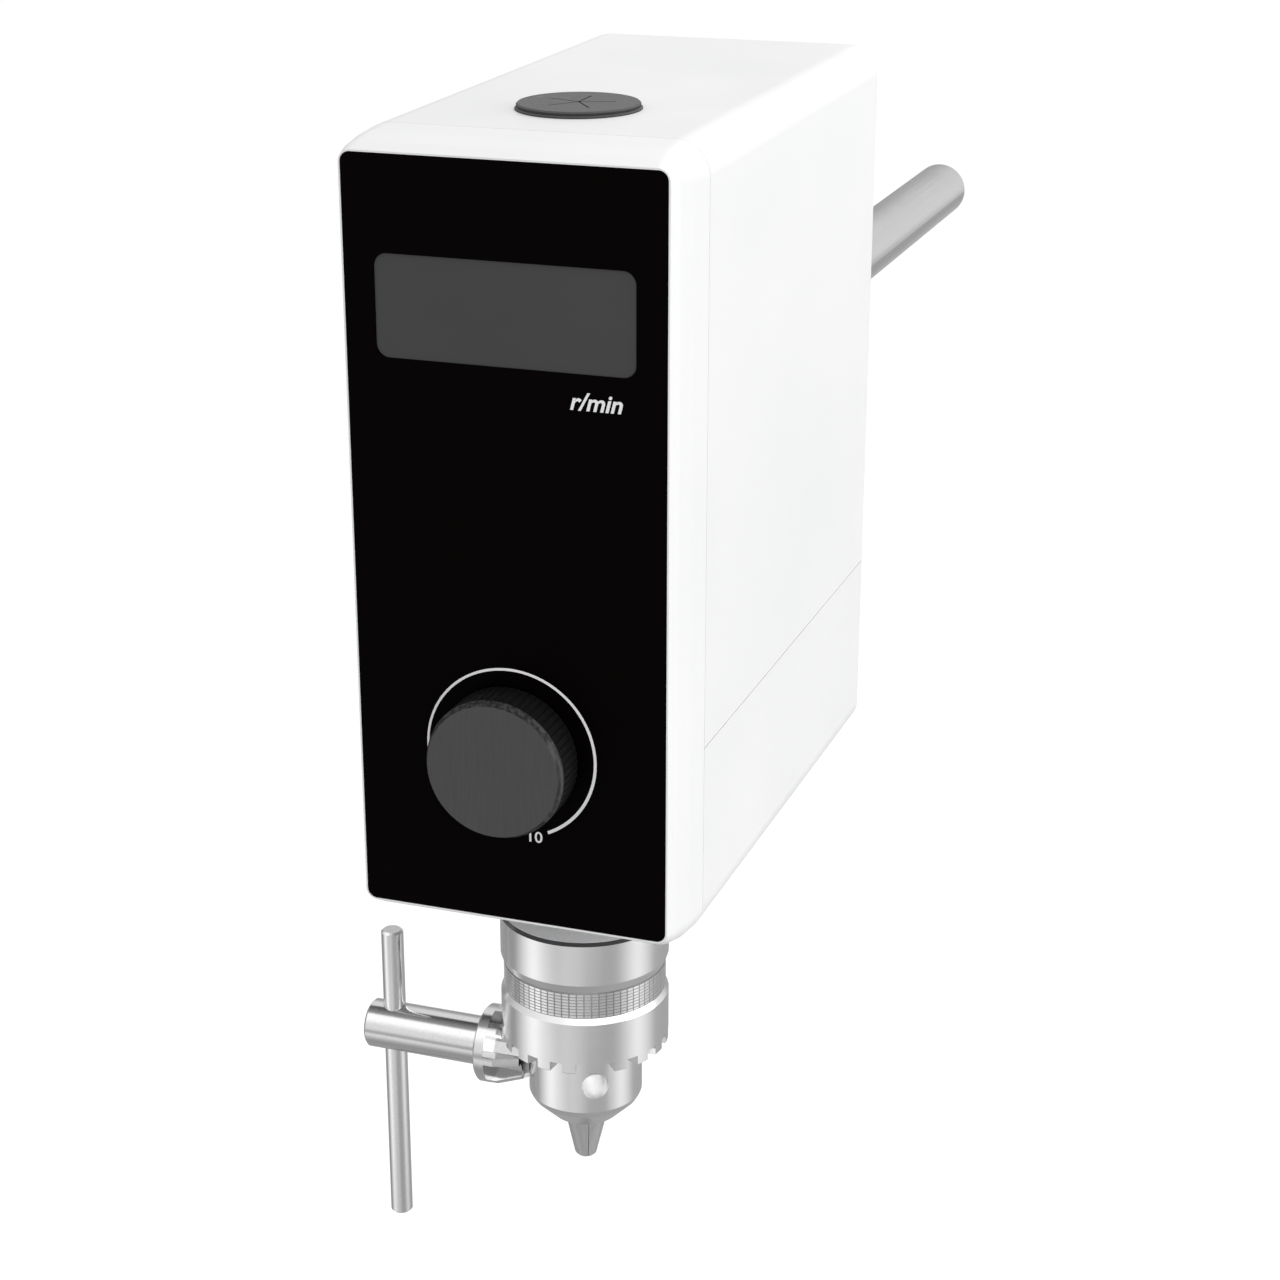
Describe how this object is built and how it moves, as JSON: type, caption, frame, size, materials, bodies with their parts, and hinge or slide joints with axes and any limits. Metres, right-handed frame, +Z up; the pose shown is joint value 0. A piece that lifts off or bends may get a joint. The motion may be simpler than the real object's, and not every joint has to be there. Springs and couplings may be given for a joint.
{
  "type": "overhead stirrer",
  "caption": "Boxed overhead stirrer drive with display window, speed knob, hollow belt-driven spindle, keyed jaw chuck with its key, and a support rod at the back.",
  "frame": {"origin": "where the support rod's axis meets the rear face of the housing", "axes": "+X to the right as seen from the front, +Y back along the support rod, +Z up"},
  "size_m": [0.0867, 0.378, 0.2592],
  "materials": {
    "housing_white": "fine satin moulding",
    "panel_black": "smooth black film",
    "window_grey": "smoked clear plastic",
    "knob_grey": "fluted and satin",
    "grommet_rubber": "matt soft rubber",
    "black_plastic": "moulded black plastic",
    "belt_rubber": "matt belt rubber",
    "board_green": "coated circuit board",
    "brass": "plain brass",
    "bright_steel": "bright drawn steel",
    "bearing_steel": "ground bearing steel",
    "screw_steel": "zinc-plated steel",
    "cast_aluminium": "machined cast aluminium",
    "pulley_alloy": "hard-anodised alloy",
    "motor_steel": "plated steel",
    "rotor_copper": "steel stack with copper winding",
    "transformer_tape": "taped winding",
    "chuck_steel": "satin machined steel",
    "jaw_steel": "dark hardened steel",
    "key_chrome": "polished plated steel"
  },
  "bodies": {
    "housing": {"upper_housing": "housing_white", "lower_housing": "housing_white", "front_bezel": "housing_white", "front_panel": "panel_black", "display_window": "window_grey", "display_module": "black_plastic", "control_board": "board_green", "board_pillars": "brass", "speed_potentiometer": "screw_steel", "potentiometer_nut": "screw_steel", "shaft_grommet": "grommet_rubber", "rear_cover": "housing_white", "cover_screws": "screw_steel", "bottom_screws": "screw_steel", "drive_deck": "cast_aluminium", "deck_screws": "screw_steel", "bearing_carrier": "cast_aluminium", "bearing_retainer": "cast_aluminium", "bearing_outer_rings": "bearing_steel", "bearing_balls": "bearing_steel", "drive_belt": "belt_rubber", "motor_can": "motor_steel", "motor_end_bell": "motor_steel", "power_board": "board_green", "power_board_pillars": "brass", "transformer": "transformer_tape", "capacitors": "black_plastic", "heat_sink": "cast_aluminium", "mains_inlet": "black_plastic", "inlet_pins": "brass", "inlet_screws": "screw_steel", "switch_frame": "black_plastic", "support_rod": "bright_steel", "rod_lock_screws": "screw_steel", "floor_seal": "grommet_rubber"},
    "spindle": {"spindle": "bright_steel", "bearing_inner_rings": "bearing_steel", "spindle_pulley": "pulley_alloy", "spindle_nut": "screw_steel", "chuck_body": "chuck_steel"},
    "motor_rotor": {"motor_rotor": "rotor_copper", "motor_shaft": "bright_steel", "motor_pulley": "pulley_alloy"},
    "sleeve": {"chuck_sleeve": "chuck_steel", "jaw_nut": "chuck_steel"},
    "jaw_1": {"chuck_jaw_1": "jaw_steel"},
    "jaw_2": {"chuck_jaw_2": "jaw_steel"},
    "jaw_3": {"chuck_jaw_3": "jaw_steel"},
    "key_pilot": {"key_pilot_pin": "key_chrome"},
    "key": {"chuck_key": "key_chrome"},
    "key_bar": {"key_bar": "key_chrome"},
    "knob": {"speed_knob": "knob_grey", "potentiometer_shaft": "bright_steel"},
    "rocker": {"power_rocker": "black_plastic"}
  },
  "joints": [
    {"name": "spindle_spin", "type": "hinge", "parent": "housing", "child": "spindle", "pos_m": [0, -0.0983, -0.035], "axis": [0, 0, 1], "continuous": true},
    {"name": "motor_spin", "type": "hinge", "parent": "housing", "child": "motor_rotor", "pos_m": [0, -0.051, -0.035], "axis": [0, 0, 1], "continuous": true},
    {"name": "sleeve_turn", "type": "hinge", "parent": "spindle", "child": "sleeve", "pos_m": [0, -0.0983, -0.12], "axis": [0, 0, -1], "range_deg": [0, 3600]},
    {"name": "jaw_1_slide", "type": "slide", "parent": "spindle", "child": "jaw_1", "axis": [0.2419, 0, 0.9703], "range_m": [0, 0.0206]},
    {"name": "jaw_2_slide", "type": "slide", "parent": "spindle", "child": "jaw_2", "axis": [-0.121, 0.2095, 0.9703], "range_m": [0, 0.0206]},
    {"name": "jaw_3_slide", "type": "slide", "parent": "spindle", "child": "jaw_3", "axis": [-0.121, -0.2095, 0.9703], "range_m": [0, 0.0206]},
    {"name": "key_pull", "type": "slide", "parent": "spindle", "child": "key_pilot", "axis": [-1, 0, 0], "range_m": [0, 0.012]},
    {"name": "key_turn", "type": "hinge", "parent": "key_pilot", "child": "key", "pos_m": [-0.03, -0.0983, -0.1368], "axis": [-1, 0, 0], "range_deg": [0, 9000]},
    {"name": "bar_slide", "type": "slide", "parent": "key", "child": "key_bar", "axis": [0, 0, 1], "range_m": [-0.0164, 0.04]},
    {"name": "knob_turn", "type": "hinge", "parent": "housing", "child": "knob", "pos_m": [0, -0.145, -0.0471], "axis": [0, 1, 0], "range_deg": [0, 300]},
    {"name": "rocker_tilt", "type": "hinge", "parent": "housing", "child": "rocker", "pos_m": [0, -0.0034, -0.036], "axis": [0, 0, 1], "range_deg": [0, 22]}
  ],
  "couplings": [
    {"joint": "motor_spin", "follows": "spindle_spin", "ratio": 2.4444},
    {"joint": "jaw_1_slide", "follows": "sleeve_turn", "m_per_rad": 0.00032786},
    {"joint": "jaw_2_slide", "follows": "sleeve_turn", "m_per_rad": 0.00032786},
    {"joint": "jaw_3_slide", "follows": "sleeve_turn", "m_per_rad": 0.00032786},
    {"joint": "key_turn", "follows": "sleeve_turn", "ratio": 2.5}
  ]
}
